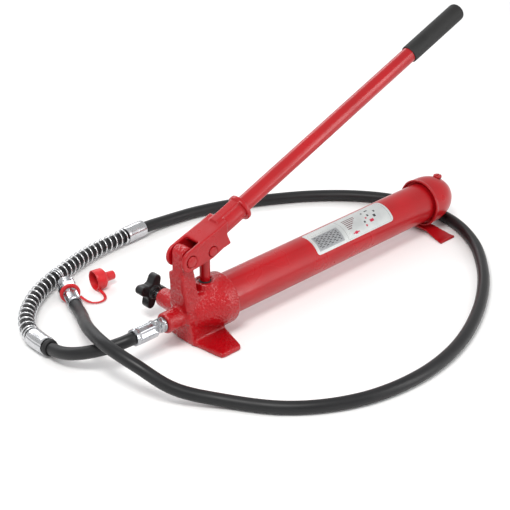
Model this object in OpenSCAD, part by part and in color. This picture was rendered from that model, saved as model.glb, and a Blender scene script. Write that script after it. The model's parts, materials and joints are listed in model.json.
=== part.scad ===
// Hydraulic hand pump: a lever-driven plunger pump on a reservoir tube, with a two metre
// pressure hose. Millimetres. The origin is on the floor under the plunger's axis,
// +X runs along the reservoir to the rear cap and +Z is up.

/* [Reservoir] */
// Outside diameter of the reservoir tube
tube_od = 57; // [54:0.5:58]
// Wall of the reservoir tube
tube_wall = 3.5; // [2:0.5:5]
// Height of the reservoir's axis above the floor
axis_h = 43; // [42:0.5:48]
// Distance from the plunger's axis to the rear cap's rim
cap_rim_x = 424; // [300:1:440]
// Radial thickness of the rear cap over the tube
cap_wall = 6; // [5:0.5:8]
// Length of the rear cap's dome
dome_len = 46; // [38:1:52]
// Width of the recess between the tube and the cap's rim
rim_recess = 4; // [3:0.5:6]

/* [Pump casting] */
// Wall of the collar that holds the reservoir tube
collar_wall = 7.5; // [6:0.5:9]
// Distance from the plunger's axis to the collar's end
collar_end_x = 30; // [24:1:36]
// Radius of the plunger boss
boss_r = 15.5; // [15:0.5:18]
// Height of the plunger boss above the floor
boss_top = 80; // [74:0.5:82]
// Radius of the hose port boss
port_boss_r = 14; // [12:0.5:16]
// Distance from the plunger's axis to the hose port's face
port_face_x = 73; // [68:1:80]
// Radius of the release valve boss
valve_boss_r = 13; // [12:0.5:14.5]
// Distance from the centre plane to the release valve boss's face
valve_face_y = 54; // [50:1:58]
// Reach of the front foot on each side of the centre plane
foot_reach = 64; // [54:1:76]
// Thickness of the front foot
foot_t = 7.5; // [6:0.5:10]
// Width of the post between the lever's cheeks
post_w = 21; // [17:0.5:22]

/* [Pump works] */
// Diameter of the plunger
plunger_d = 14; // [11:0.5:15]
// Diameter of the fulcrum pin
fulcrum_d = 12; // [9:0.5:13]
// Diameter of the piston pin
piston_pin_d = 10; // [8:0.5:11]
// Running clearance of a shaft in its bore, on the radius
run_gap = 0.05; // [0.02:0.01:0.1]
// Clear space between pieces that only stand beside each other
free_gap = 0.3; // [0.2:0.05:0.5]
// Diameter of the check balls
ball_d = 7; // [6:0.5:8]

/* [Lever and handle] */
// Outside diameter of the handle tube
handle_od = 22; // [19:0.5:24]
// Wall of the handle tube
handle_wall = 2; // [1.2:0.2:3]
// Length of the handle from the plunger's axis to its end
handle_len = 521; // [420:1:600]
// Angle of the handle above the floor at rest
handle_tilt = 21; // [15:0.5:24]
// Outside diameter of the grip
grip_od = 25.5; // [25:0.5:30]
// Length of the grip
grip_len = 109; // [80:1:140]
// Thickness of each cheek of the lever
cheek_t = 5; // [4:0.5:6]
// Width of the lever across its cheeks
lever_w = 34; // [33:0.5:38]

/* [Release valve] */
// Diameter of the release spindle
spindle_d = 9; // [7:0.5:10]
// Diameter across the lobes of the release knob
knob_d = 48; // [38:1:56]
// Thickness of the release knob
knob_t = 13; // [9:1:17]

/* [Hose] */
// Outside diameter of the hose
hose_od = 17; // [13:0.5:17]
// Outside diameter of the spring guard
guard_od = 24; // [22:0.5:24]
// Outside diameter of the coupler's threaded sleeve
coupler_od = 25; // [20:0.5:27]

/* [Hidden] */
$fn = 64;

// Reservoir
tube_r = tube_od / 2;
tube_in_r = tube_r - tube_wall;
seat_gap = 0.05;                      // a screwed or pressed seat, on the radius
collar_r = tube_r + collar_wall;
collar_x0 = 11;                       // where the collar reaches its full radius
tube_x0 = 16;                         // the tube's front end, against its seal
seal_t = 2;
cap_r = tube_r + cap_wall;
rim_r = cap_r + 1;
tube_x1 = cap_rim_x + 28;             // the tube's rear end, inside the cap
dome_x = cap_rim_x + 14;              // where the cap's cylinder turns into its dome
cap_end_x = dome_x + dome_len;
label_x0 = 185;
label_x1 = 339;

// Lever linkage
pin_x = -36;                          // the fulcrum pin
pin_z = 125.5;
piston_z = 127;                       // the piston pin, over the plunger's axis
post_top_r = 10.5;
post_top_z = pin_z + 7;
post_ledge_z = 105;
post_base_w = 32;
handle_z = 138;                       // the handle's axis at the plunger's axis
socket_in = 26;                       // the socket's floor, along the handle's axis
socket_out = 70;
socket_wall = 2.6;
socket_r = handle_od / 2 + socket_wall;
bead_r = handle_od / 2 + 7;
cheek_in = lever_w / 2 - cheek_t;
clip_t = 1.2;
head_t = 2.6;
head_sink = 2.2;

// Plunger and bores
plunger_r = plunger_d / 2;
chamber_r = plunger_r + 1;
chamber_z = 30;
packing_z = 63;
gland_z = 68;
gland_r = 10.5;
plunger_z0 = 42;
plunger_neck_z = 112;                 // where the rod becomes the flat-sided head
eye_play_x = 4.6;
eye_play_z = 0.55;
ball_r = ball_d / 2;
inlet_seat_z = 21.5;
inlet_floor_z = 12;
return_z = axis_h - tube_in_r + 5;     // the suction tube's axis, near the tube's floor
suction_r = 4;
suction_x0 = 6;
suction_x1 = 62;                      // where the strainer starts
outlet_seat_x = -11;
port_bore_r = 4.5;
port_thread_r = 8;
port_thread_len = 15;
relief_x = -18;
relief_screw_top = 11.8;
relief_spring_top = 17.6;
relief_ball_z = 20.8;
relief_ball_r = 3;
relief_screw_r = 5;
valve_x = -27.3;
valve_ball_y = 11;
valve_ball_r = 3;
valve_seat_y = valve_ball_y - valve_ball_r;
spindle_r = spindle_d / 2;
o_ring_y = 48;
o_ring_r = 1.05;
o_ring_land = 2;                      // half the width of the o-ring's gland
knob_pin_r = 1.5;
knob_y = 70;
knob_pin_y = knob_y + 4;
filler_x = cap_end_x - 20;
filler_top = axis_h + cap_r - 6.5;    // the flat that the filler's seal lies on
filler_hole_r = 4;

// Hose fittings
hose_r = hose_od / 2;
ferrule_r = 10.5;
pump_ferrule_r = 11.5;
adapter_hex_x = port_face_x + 3;
ferrule_x0 = 88;
hose_x0 = 123;
guard_r = guard_od / 2;
guard_in_r = hose_r + 0.8;
sleeve_r = guard_r + 0.4;
sleeve_in_r = hose_r + 1.6;
coupler_at = [-94, 156, 14.5];
coupler_turn = 65;
coupler_r = coupler_od / 2;
neck_r = 8;
crimp_len = 30;
nut_at = 35;                          // the coupler's nut, along its axis
nut_len = 11;
sleeve_at = nut_at + nut_len;
nose_end = 66.7;
needle_r = 1.6;
ring_at_x = crimp_len + 0.6;          // the strap's ring, round the coupler's neck
ring_t = nut_at - 0.6 - ring_at_x;
strap_ring_r = 14.2;
cap_at = [-36, 190, 14.5];
cap_turn = -10;
cup_r = 14.4;
cup_wall = 2;
cup_len = 13.5;
cup_cone = 5.5;
tail_r = 6.6;
tail_len = 13;

// The hose's centre line, from the pump's ferrule round to the coupler's ferrule
hose_route = [
    [-123, 0, 43], [-143.5, 7.5, 38.5], [-164, 22.5, 32.5], [-178.5, 43.5, 25], [-185, 68.5, 18],
    [-183.5, 99, 12.5], [-181, 135, 12.5], [-167, 167, 12.5], [-140, 197, 12.5],
    [-105, 221, 12.5], [-66, 237, 12.5], [10, 259, 12.5], [81, 265, 12.5], [116, 266, 12.5],
    [160, 265.5, 9.3], [216, 256, 8.6], [272, 236, 8.6], [328, 207, 8.6], [380, 172, 8.6],
    [426, 128, 8.6], [458, 79, 8.6], [472, 27, 8.6], [469, -25, 8.6], [452, -71, 8.6],
    [420, -118, 8.6], [362, -174, 8.6], [290, -222, 8.6], [210, -257, 8.6], [130, -272, 8.6],
    [53, -266, 8.6], [-10, -242, 8.6], [-62, -201, 8.6], [-104, -141, 10], [-141, -98.5, 22.5],
    [-164, -57, 46], [-172, -9, 57], [-160.5, 37, 53], [-139, 77.5, 40], [-114.5, 115.5, 23.5],
    [-94, 156, 14.5]];
hose_steps = 2;
hose_sides = 10;
// Places along the route, as point numbers: the sleeves, and where the two springs meet
sleeve_a = 5;
spring_a = 6;
spring_mid = 10;
spring_b = 12;
sleeve_b = 13;

// The strap's centre line, from the ring on the coupler to the dust cap
strap_route = [
    [-67.9, 179.8, 6.5], [-65, 170.5, 3], [-61, 161.5, 1.8], [-52.5, 156, 1.8], [-42.5, 158, 1.8],
    [-36.5, 167, 2.2], [-35.2, 178, 4.4]];

// A point on the smooth curve through four points, at t between the middle two
function smooth_at(a, b, c, d, t) =
    0.5 * (2 * b + (c - a) * t + (2 * a - 5 * b + 4 * c - d) * t * t
    + (3 * b - a - 3 * c + d) * t * t * t);
function clamp_at(route, i) = route[max(0, min(len(route) - 1, i))];
function smooth_route(route, steps) = concat(
    [for (i = [0 : len(route) - 2], j = [0 : steps - 1])
        smooth_at(clamp_at(route, i - 1), route[i], route[i + 1], clamp_at(route, i + 2), j / steps)],
    [route[len(route) - 1]]);
function unit(v) = v / norm(v);
function heading(line, i) = unit(clamp_at(line, i + 1) - clamp_at(line, i - 1));
// A ring of points round the line at point i, w wide to the side and h high. Where ends is
// given, it holds the exact directions of the line's first and last rings.
function ring_at(line, i, w, h, sides, ends) =
    let (t = ends != undef && i == 0 ? ends[0]
            : ends != undef && i == len(line) - 1 ? ends[1] : heading(line, i),
        s = unit(cross(t, [0, 0, 1])), u = cross(s, t))
    [for (k = [0 : sides - 1])
        line[i] + s * w * cos((k + 0.5) * 360 / sides) + u * h * sin((k + 0.5) * 360 / sides)];
function quads(n, k, from, to, flip) =
    [for (j = [0 : k - 1]) flip
        ? [from + j, to + j, to + (j + 1) % k, from + (j + 1) % k]
        : [from + j, from + (j + 1) % k, to + (j + 1) % k, to + j]];
// The points of a rounded corner of radius r between two edges of an outline
function corner(a, b, c, r) =
    let (u = unit(a - b), v = unit(c - b), half = acos(u * v) / 2, d = r / tan(half),
        m = b + unit(u + v) * (r / sin(half)), p = b + u * d, q = b + v * d,
        a0 = atan2(p[1] - m[1], p[0] - m[0]), a1 = atan2(q[1] - m[1], q[0] - m[0]),
        sweep = (a1 - a0 + 540) % 360 - 180)
    [for (i = [0 : 6]) m + r * [cos(a0 + sweep * i / 6), sin(a0 + sweep * i / 6)]];

hose_line = smooth_route(hose_route, hose_steps);
strap_line = smooth_route(strap_route, 3);

// A rod or cone along +X, +Y or +Z
module x_rod(x0, x1, r, r_end = -1, y = 0, z = axis_h)
    translate([x0, y, z]) rotate([0, 90, 0])
        cylinder(h = x1 - x0, r1 = r, r2 = r_end < 0 ? r : r_end);
module y_rod(y0, y1, r, r_end = -1, x = 0, z = axis_h)
    translate([x, y0, z]) rotate([-90, 0, 0])
        cylinder(h = y1 - y0, r1 = r, r2 = r_end < 0 ? r : r_end);
module z_rod(z0, z1, r, r_end = -1, x = 0, y = 0)
    translate([x, y, z0]) cylinder(h = z1 - z0, r1 = r, r2 = r_end < 0 ? r : r_end);
// A side outline in X and Z, thick across Y
module side_plate(points, y0, y1)
    translate([0, y1, 0]) rotate([90, 0, 0]) linear_extrude(y1 - y0) polygon(points);
// A solid tube that follows a line
module sweep_solid(line, w, h, sides, ends = undef) {
    n = len(line);
    polyhedron(
        points = [for (i = [0 : n - 1]) each ring_at(line, i, w, h, sides, ends)],
        faces = concat(
            [[for (k = [0 : sides - 1]) k]],
            [for (i = [0 : n - 2]) each quads(n, sides, i * sides, (i + 1) * sides, true)],
            [[for (k = [sides - 1 : -1 : 0]) (n - 1) * sides + k]]));
}
// A hollow tube that follows points a to b of a line
module sweep_tube(line, a, b, r_out, r_in, sides) {
    n = b - a + 1;
    m = n * sides;
    polyhedron(
        points = concat(
            [for (i = [a : b]) each ring_at(line, i, r_out, r_out, sides)],
            [for (i = [a : b]) each ring_at(line, i, r_in, r_in, sides)]),
        faces = concat(
            [for (i = [0 : n - 2]) each quads(n, sides, i * sides, (i + 1) * sides, true)],
            [for (i = [0 : n - 2]) each quads(n, sides, m + i * sides, m + (i + 1) * sides, false)],
            quads(n, sides, 0, m, false),
            quads(n, sides, (n - 1) * sides, m + (n - 1) * sides, true)));
}
module on_handle() translate([0, 0, handle_z]) rotate([0, -handle_tilt, 0]) children();
module on_coupler() translate(coupler_at) rotate([0, 0, coupler_turn]) children();
module on_dust_cap() translate(cap_at) rotate([0, 0, cap_turn]) children();
module on_route(from, to) {
    d = hose_route[to] - hose_route[from];
    translate(hose_route[from])
        rotate([0, -atan2(d[2], norm([d[0], d[1]])), atan2(d[1], d[0])]) children();
}
function route_gap(from, to) = norm(hose_route[to] - hose_route[from]);

// The cast pump head: collar, body, bosses, fulcrum post and front foot in one piece
module foot_outline() {
    near = [[-37, 0], [-30, -foot_reach], [4, -foot_reach], [19, -18]];
    polygon(concat(
        [near[0]], corner(near[0], near[1], near[2], 5), corner(near[1], near[2], near[3], 5),
        [near[3]],
        [[19, 18]], corner([19, 18], [4, foot_reach], [-30, foot_reach], 5),
        corner([4, foot_reach], [-30, foot_reach], near[0], 5)));
}
module post_lower() {
    // It is flush with the upper post on the near side, and steps out on the far side
    hull() {
        translate([-48.5, -post_w / 2, post_ledge_z - 2])
            cube([22, post_w / 2 + post_base_w / 2, 2]);
        translate([-47, -post_w / 2 - 3, 76]) cube([23, post_w / 2 + 3 + post_base_w / 2, 2]);
    }
    hull() {
        translate([-47, -post_w / 2 - 3, 76]) cube([23, post_w / 2 + 3 + post_base_w / 2, 2]);
        translate([-47, -post_base_w / 2 - 1, 55]) cube([27, post_base_w + 2, 2]);
    }
}
module post_upper() {
    translate([0, post_w / 2, 0]) rotate([90, 0, 0]) linear_extrude(post_w) union() {
        translate([pin_x - 1, post_top_z]) circle(r = post_top_r);
        polygon([[pin_x - 1 - post_top_r, post_top_z], [pin_x - 1 + post_top_r, post_top_z],
            [pin_x - 1 + post_top_r, 80], [-48, 80]]);
    }
}
module casting_shape() {
    x_rod(collar_x0, collar_end_x, collar_r);
    x_rod(-34, collar_x0, 22, collar_r);
    x_rod(-port_face_x, -10, port_boss_r);
    z_rod(30, boss_top, boss_r + 2, boss_r);
    y_rod(0, valve_face_y, valve_boss_r + 2, valve_boss_r, x = valve_x);
    linear_extrude(foot_t) foot_outline();
    post_lower();
    post_upper();
    // The pedestal between the foot and the body
    hull() {
        translate([-36, -17, 0]) cube([54, 34, foot_t]);
        translate([-44, -18, axis_h - 6]) cube([62, 36, 6]);
    }
    // The shoulders that carry the post and the plunger boss
    hull() {
        translate([-46, -19, axis_h - 6]) cube([60, 38, 6]);
        translate([-44, -15, 66]) cube([52, 30, 4]);
    }
    hull() {
        translate([2, 0, 60]) rotate([0, 90, 0]) cylinder(h = 18, r = 14, $fn = 32);
        translate([-2, -18, axis_h]) cube([24, 36, 8]);
    }
}
module pump_body() color("firebrick") difference() {
    casting_shape();
    // Seat of the reservoir tube
    x_rod(tube_x0 - seal_t, collar_end_x + 1, tube_r + seat_gap);
    // Plunger chamber, packing and gland
    z_rod(chamber_z, packing_z + 1, chamber_r);
    z_rod(packing_z, max(boss_top, axis_h + collar_r) + 1, gland_r + seat_gap);
    // Inlet valve, drilled and assembled from above
    z_rod(inlet_seat_z, chamber_z + 1, ball_r + 1);
    z_rod(inlet_floor_z, inlet_seat_z + 1, 2.5);
    translate([0, 0, inlet_floor_z + 1]) rotate([0, 52, 0]) cylinder(h = 12, r = 2.2);
    x_rod(suction_x0, tube_x0 - seal_t + 1, suction_r + seat_gap, z = return_z);
    // Outlet valve and hose port
    x_rod(outlet_seat_x - 1, 0, 2.5);
    x_rod(-port_face_x + port_thread_len - 1, outlet_seat_x, port_bore_r);
    x_rod(-port_face_x - 1, -port_face_x + port_thread_len, port_thread_r + seat_gap);
    // Relief valve, from the port's bore down to the foot
    z_rod(24, axis_h, 2, x = relief_x);
    z_rod(12, 24.5, relief_ball_r + 0.4, x = relief_x);
    z_rod(-1, 12.5, relief_screw_r, x = relief_x);
    x_rod(relief_x, 0, 1.6, z = 14.5);
    // Release valve, and its return to the reservoir
    y_rod(0, valve_seat_y + 1, 2, x = valve_x);
    y_rod(valve_seat_y, 17, valve_ball_r + 0.4, x = valve_x);
    y_rod(16, valve_face_y + 1, spindle_r + run_gap, x = valve_x);
    y_rod(o_ring_y - o_ring_land, o_ring_y + o_ring_land, spindle_r + 2.2, x = valve_x);
    x_rod(valve_x, tube_x0, 1.8, y = 14);
    // Bore of the fulcrum pin
    y_rod(-post_w, post_w, fulcrum_d / 2 + seat_gap, x = pin_x, z = pin_z);
}

// Reservoir: the tube, the cast cap that closes it, its seals and the rear foot
module reservoir_tube() color("red") difference() {
    x_rod(tube_x0, tube_x1, tube_r);
    x_rod(tube_x0 - 1, tube_x1 + 1, tube_in_r);
}
function dome_points(r, length, x) = [for (i = [0 : 18]) [x + length * sin(i * 5), r * cos(i * 5)]];
module end_cap() color("firebrick") difference() {
    translate([0, 0, axis_h]) rotate([0, 90, 0]) rotate_extrude() rotate([0, 0, 90])
        mirror([0, 1, 0]) polygon(concat([[cap_rim_x, 0], [cap_rim_x, rim_r],
            [cap_rim_x + 2, rim_r], [cap_rim_x + 4, cap_r]], dome_points(cap_r, dome_len, dome_x)));
    x_rod(cap_rim_x - 1, cap_rim_x + rim_recess, cap_r - 2);
    x_rod(cap_rim_x, tube_x1 + seal_t, tube_r + seat_gap);
    x_rod(tube_x1, tube_x1 + 12, tube_in_r - 1, tube_in_r - 10);
    z_rod(filler_top, filler_top + 20, 8, x = filler_x);
    z_rod(axis_h, filler_top + 1, filler_hole_r + seat_gap, x = filler_x);
}
module rear_foot() color("firebrick") {
    arch_z = axis_h - rim_r;
    t = arch_z - 4;
    reach = 56;
    intersection() {
        translate([cap_rim_x - 13, 0, 0]) rotate([90, 0, 90]) linear_extrude(32) polygon([
            [-reach, 0], [-reach + 10, 0], [-18, arch_z - t], [18, arch_z - t], [reach - 10, 0],
            [reach, 0], [reach, t], [reach - 11, t], [19, arch_z], [-19, arch_z],
            [-reach + 11, t], [-reach, t]]);
        linear_extrude(20) polygon([
            [cap_rim_x - 12, -reach], [cap_rim_x + 19, -reach], [cap_rim_x + 17, -19],
            [cap_rim_x + 17, 19], [cap_rim_x + 19, reach], [cap_rim_x - 12, reach],
            [cap_rim_x - 3, 19], [cap_rim_x - 3, -19]]);
    }
}
module rating_label() color("silver") intersection() {
    difference() {
        x_rod(label_x0, label_x1, tube_r + 0.3);
        x_rod(label_x0 - 1, label_x1 + 1, tube_r + seat_gap);
    }
    translate([label_x0 - 1, 0, axis_h]) rotate([90, 0, 90]) linear_extrude(label_x1 - label_x0 + 2)
        polygon(concat([[0, 0]], [for (a = [24 : 14 : 108]) 2 * tube_r * [-cos(a), sin(a)]]));
}
module tube_front_seal() color("black") difference() {
    x_rod(tube_x0 - seal_t, tube_x0, tube_r);
    x_rod(0, tube_x0 + 1, tube_in_r);
}
module tube_rear_seal() color("black") difference() {
    x_rod(tube_x1, tube_x1 + seal_t, tube_r);
    x_rod(tube_x1 - 1, tube_x1 + seal_t + 1, tube_in_r);
}

// Plunger, its packing and gland, and the check valves
module gland_nut() color("firebrick") difference() {
    z_rod(gland_z, boss_top - 1.5, gland_r);
    z_rod(gland_z - 1, boss_top, plunger_r + run_gap);
    for (turn = [0 : 90 : 270])
        rotate([0, 0, turn]) translate([gland_r - 2, -1, boss_top - 3.5]) cube([5, 2, 4]);
}
module plunger_packing() color("black") difference() {
    z_rod(packing_z, gland_z, gland_r);
    z_rod(packing_z - 1, gland_z + 1, plunger_r + run_gap);
}
module plunger() color("silver") difference() {
    union() {
        z_rod(plunger_z0, plunger_neck_z + 1, plunger_r);
        hull() {
            z_rod(plunger_neck_z, plunger_neck_z + 2, plunger_r);
            y_rod(-plunger_r, plunger_r, piston_pin_d / 2 + 5.5, z = piston_z);
        }
    }
    // The eye, wider than the pin along X, because the pin swings on an arc
    for (side = [-1, 1])
        y_rod(-20, 20, piston_pin_d / 2 + eye_play_z, x = side * (eye_play_x / 2) - eye_play_x / 2,
            z = piston_z);
    translate([-eye_play_x, -20, piston_z - piston_pin_d / 2 - eye_play_z])
        cube([eye_play_x, 40, piston_pin_d + 2 * eye_play_z]);
}
module suction_tube() color("silver") difference() {
    x_rod(suction_x0, suction_x1, suction_r, z = return_z);
    x_rod(suction_x0 - 1, suction_x1 + 1, suction_r - 1.2, z = return_z);
}
module suction_strainer() color("goldenrod") difference() {
    x_rod(suction_x1, suction_x1 + 22, suction_r + 0.4, z = return_z);
    x_rod(suction_x1 - 1, suction_x1 + 20, suction_r - 0.6, z = return_z);
}
module inlet_ball() color("silver")
    translate([0, 0, inlet_seat_z + ball_r + 0.1]) sphere(r = ball_r);
module outlet_ball() color("silver")
    translate([outlet_seat_x - ball_r - 0.1, 0, axis_h]) sphere(r = ball_r);
module outlet_spring() color("silver") difference() {
    x_rod(-port_face_x + port_thread_len, outlet_seat_x - ball_d - 0.3, 3.9);
    x_rod(-port_face_x, 0, 3);
}
module relief_ball() color("silver") translate([relief_x, 0, relief_ball_z])
    sphere(r = relief_ball_r);
module relief_spring() color("silver") difference() {
    z_rod(relief_screw_top + 0.2, relief_spring_top, relief_ball_r, x = relief_x);
    z_rod(relief_screw_top - 1, relief_spring_top + 1, relief_ball_r - 0.8, x = relief_x);
}
module relief_screw() color("dimgray") difference() {
    z_rod(1.5, relief_screw_top, relief_screw_r - seat_gap, x = relief_x);
    z_rod(1, 5.5, 2.5, x = relief_x, $fn = 6);
}

// Lever, its two pins and their clips
module headed_pin(x, z, d) difference() {
    union() {
        y_rod(-lever_w / 2 + head_sink, lever_w / 2 + clip_t + 1.6, d / 2, x = x, z = z);
        y_rod(-lever_w / 2 + head_sink - head_t, -lever_w / 2 + head_sink, d / 2 + 1.4,
            x = x, z = z);
    }
    difference() {
        y_rod(lever_w / 2 + free_gap, lever_w / 2 + free_gap + clip_t + 0.1, d, x = x, z = z);
        y_rod(0, lever_w, d / 2 - 1, x = x, z = z);
    }
}
module pin_clip(x, z, d) difference() {
    y_rod(lever_w / 2 + free_gap + 0.05, lever_w / 2 + free_gap + clip_t, d / 2 + 2.4, x = x, z = z);
    y_rod(0, lever_w, d / 2 - 0.95, x = x, z = z);
    translate([x - 3, 0, z]) cube([6, 30, 20]);
}
module fulcrum_pin() color("brown") headed_pin(pin_x, pin_z, fulcrum_d);
module fulcrum_clip() color("dimgray") pin_clip(pin_x, pin_z, fulcrum_d);
module piston_pin() color("brown") headed_pin(0, piston_z, piston_pin_d);
module piston_clip() color("dimgray") pin_clip(0, piston_z, piston_pin_d);
function cheek_points() = concat(
    [for (i = [0 : 12]) [pin_x, pin_z] + 15.5 * [cos(246 - i * 12), sin(246 - i * 12)]],
    [[-20, 147], [-5, 151.5], [10, 156], [26, 162], [25.5, 142]],
    corner([25.5, 142], [31.5, 128], [26, 125], 2), [[19, 125]], [[0, 117.5], [-8, 116]]);
module lever() color("firebrick") difference() {
    union() {
        for (side = [0, 1]) mirror([0, side, 0])
            side_plate(cheek_points(), cheek_in, lever_w / 2);
        side_plate([[-20, 147], [-5, 151.5], [10, 156], [26, 162], [26, 157], [10, 151.5],
            [-5, 147], [-20, 142.5]], -cheek_in - 1, cheek_in + 1);
        on_handle() {
            translate([socket_in - 4, 0, 0]) rotate([0, 90, 0])
                cylinder(h = socket_out - socket_in + 4, r = socket_r);
            translate([socket_out - 6, 0, 0]) rotate([0, 90, 0]) cylinder(h = 6, r = bead_r);
            translate([socket_in - 4, -7, 0])
                cube([socket_out - socket_in + 4, 14, socket_r + 2]);
        }
    }
    on_handle() translate([socket_in, 0, 0]) rotate([0, 90, 0])
        cylinder(h = socket_out, r = handle_od / 2 + run_gap);
    for (pin = [[pin_x, pin_z, fulcrum_d], [0, piston_z, piston_pin_d]]) {
        y_rod(-lever_w, lever_w, pin[2] / 2 + run_gap, x = pin[0], z = pin[1]);
        y_rod(-lever_w, -lever_w / 2 + head_sink + free_gap, pin[2] / 2 + 2.2, x = pin[0], z = pin[1]);
    }
}
module handle_tube() color("red") on_handle() translate([socket_in + 0.1, 0, 0]) rotate([0, 90, 0])
    difference() {
        cylinder(h = handle_len - socket_in - 3, r = handle_od / 2);
        translate([0, 0, -1]) cylinder(h = handle_len, r = handle_od / 2 - handle_wall);
    }
module handle_grip() color("black") on_handle() translate([handle_len - grip_len, 0, 0])
    rotate([0, 90, 0]) difference() {
        union() {
            cylinder(h = grip_len - 3, r = grip_od / 2);
            translate([0, 0, grip_len - 3]) cylinder(h = 3, r1 = grip_od / 2, r2 = grip_od / 2 - 3);
        }
        translate([0, 0, -1]) cylinder(h = grip_len - 1.8, r = handle_od / 2 + seat_gap);
    }

// Release valve on the far side
module release_ball() color("silver")
    translate([valve_x, valve_ball_y + 0.1, axis_h]) sphere(r = valve_ball_r);
module release_spindle() color("silver") difference() {
    union() {
        y_rod(valve_ball_y + valve_ball_r + 0.3, 17.5, 2.2, x = valve_x);
        y_rod(17.3, knob_y + knob_t - 2, spindle_r, x = valve_x);
    }
    x_rod(valve_x - 20, valve_x + 20, knob_pin_r, y = knob_pin_y);
}
module release_knob() color("black") difference() {
    lobe_r = 6.5;
    reach = knob_d / 2 - lobe_r;
    translate([valve_x, knob_y, axis_h]) rotate([-90, 0, 0]) union() {
        linear_extrude(knob_t) union() {
            circle(r = knob_d * 0.27);
            for (turn = [20 : 90 : 290]) rotate(turn) {
                translate([reach, 0]) circle(r = lobe_r);
                polygon([[0, -lobe_r - 2], [reach, -lobe_r], [reach, lobe_r], [0, lobe_r + 2]]);
            }
        }
        translate([0, 0, -4]) cylinder(h = 5, r = 9);
    }
    y_rod(knob_y - 5, knob_y + knob_t - 1.8, spindle_r + seat_gap, x = valve_x);
    x_rod(valve_x - 10, valve_x + 10, knob_pin_r + seat_gap, y = knob_pin_y);
}
module knob_pin() color("dimgray")
    x_rod(valve_x - 8, valve_x + 8, knob_pin_r - seat_gap, y = knob_pin_y);
module valve_o_ring() color("black") translate([valve_x, o_ring_y, axis_h]) rotate([-90, 0, 0])
    rotate_extrude() translate([spindle_r + o_ring_r + seat_gap, 0]) circle(r = o_ring_r, $fn = 24);

// Filler plug on the cap's dome
module filler_plug() color("firebrick") difference() {
    union() {
        z_rod(filler_top - 9, filler_top + 1.5, filler_hole_r - run_gap, x = filler_x);
        z_rod(filler_top + 1.5, filler_top + 4, 6.5, 6, x = filler_x);
    }
    translate([filler_x - 7, -0.8, filler_top + 2.6]) cube([14, 1.6, 4]);
}
module filler_seal() color("black") difference() {
    z_rod(filler_top, filler_top + 1.5, 6, x = filler_x);
    z_rod(filler_top - 1, filler_top + 2, filler_hole_r, x = filler_x);
}

// Hose, its fittings and its spring guard
module port_adapter() color("silver") difference() {
    union() {
        x_rod(-port_face_x - 0.1, -port_face_x + port_thread_len, port_thread_r);
        x_rod(-adapter_hex_x, -port_face_x - 0.1, 10);
        translate([-adapter_hex_x - 6, 0, axis_h]) rotate([0, 90, 0])
            cylinder(h = 6, r = 10.4, $fn = 6);
        x_rod(-ferrule_x0, -adapter_hex_x - 6, 8.5);
    }
    x_rod(-ferrule_x0 - 1, 0, 3);
}
module crimped(length, r) rotate([0, 90, 0]) difference() {
    union() {
        cylinder(h = length, r = r, $fn = 8);
        cylinder(h = 3, r = r - 0.4);
    }
    translate([0, 0, -1]) cylinder(h = length + 2, r = 3);
}
module hose_ferrule() color("silver") translate([-hose_x0, 0, axis_h])
    crimped(hose_x0 - ferrule_x0, pump_ferrule_r);
module hose() color("black")
    sweep_solid(hose_line, hose_r, hose_r, hose_sides,
        ends = [[-1, 0, 0], [cos(coupler_turn), sin(coupler_turn), 0]]);
module guard_spring(a, b) color("silver")
    sweep_tube(hose_line, a * hose_steps, b * hose_steps, guard_r, guard_in_r, hose_sides);
module guard_spring_front() guard_spring(spring_a, spring_mid);
module guard_spring_rear() guard_spring(spring_mid, spring_b);
module guard_sleeve(a, b, gap_a, gap_b) color("silver") on_route(a, b) rotate([0, 90, 0])
    difference() {
        translate([0, 0, gap_a]) cylinder(h = route_gap(a, b) - gap_a - gap_b, r = sleeve_r);
        translate([0, 0, -1]) cylinder(h = route_gap(a, b) + 2, r = sleeve_in_r);
    }
module guard_sleeve_front() guard_sleeve(sleeve_a, spring_a, 0, 2.6);
module guard_sleeve_rear() guard_sleeve(spring_b, sleeve_b, 0.9, 0);
module guard_grommet() color("black") on_route(sleeve_a, sleeve_a - 1) rotate([0, 90, 0]) difference() {
    translate([0, 0, 2.3]) cylinder(h = 6.5, r1 = sleeve_r - 1, r2 = hose_r + 1.8);
    translate([0, 0, -1]) cylinder(h = 10, r = hose_r + 0.6);
}
module coupler_ferrule() color("silver") on_coupler() difference() {
    union() {
        crimped(crimp_len, ferrule_r);
        rotate([0, 90, 0]) cylinder(h = nut_at, r = neck_r);
    }
    rotate([0, 90, 0]) translate([0, 0, -1]) cylinder(h = 40, r = 3);
}
module coupler_nut() color("silver") on_coupler() translate([nut_at, 0, 0]) rotate([0, 90, 0])
    difference() {
        cylinder(h = nut_len, r = coupler_r + 1.4, $fn = 6);
        translate([0, 0, -1]) cylinder(h = nut_len + 2, r = 5);
    }
module coupler_sleeve() color("silver") on_coupler() translate([sleeve_at, 0, 0]) rotate([0, 90, 0])
    difference() {
        union() {
            cylinder(h = 2.5, r = coupler_r - 2);
            translate([0, 0, 2.5]) cylinder(h = 11.5, r = coupler_r);
        }
        translate([0, 0, -1]) cylinder(h = 20, r = 6.5);
    }
module coupler_nose() color("silver") on_coupler() rotate([0, 90, 0]) difference() {
    translate([0, 0, sleeve_at + 0.2]) cylinder(h = nose_end - sleeve_at - 0.2, r = 6);
    translate([0, 0, sleeve_at - 1]) cylinder(h = 30, r = needle_r + run_gap);
}
module coupler_pin() color("goldenrod") on_coupler() rotate([0, 90, 0])
    translate([0, 0, nose_end - 14.7]) cylinder(h = 17.5, r = needle_r);

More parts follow.
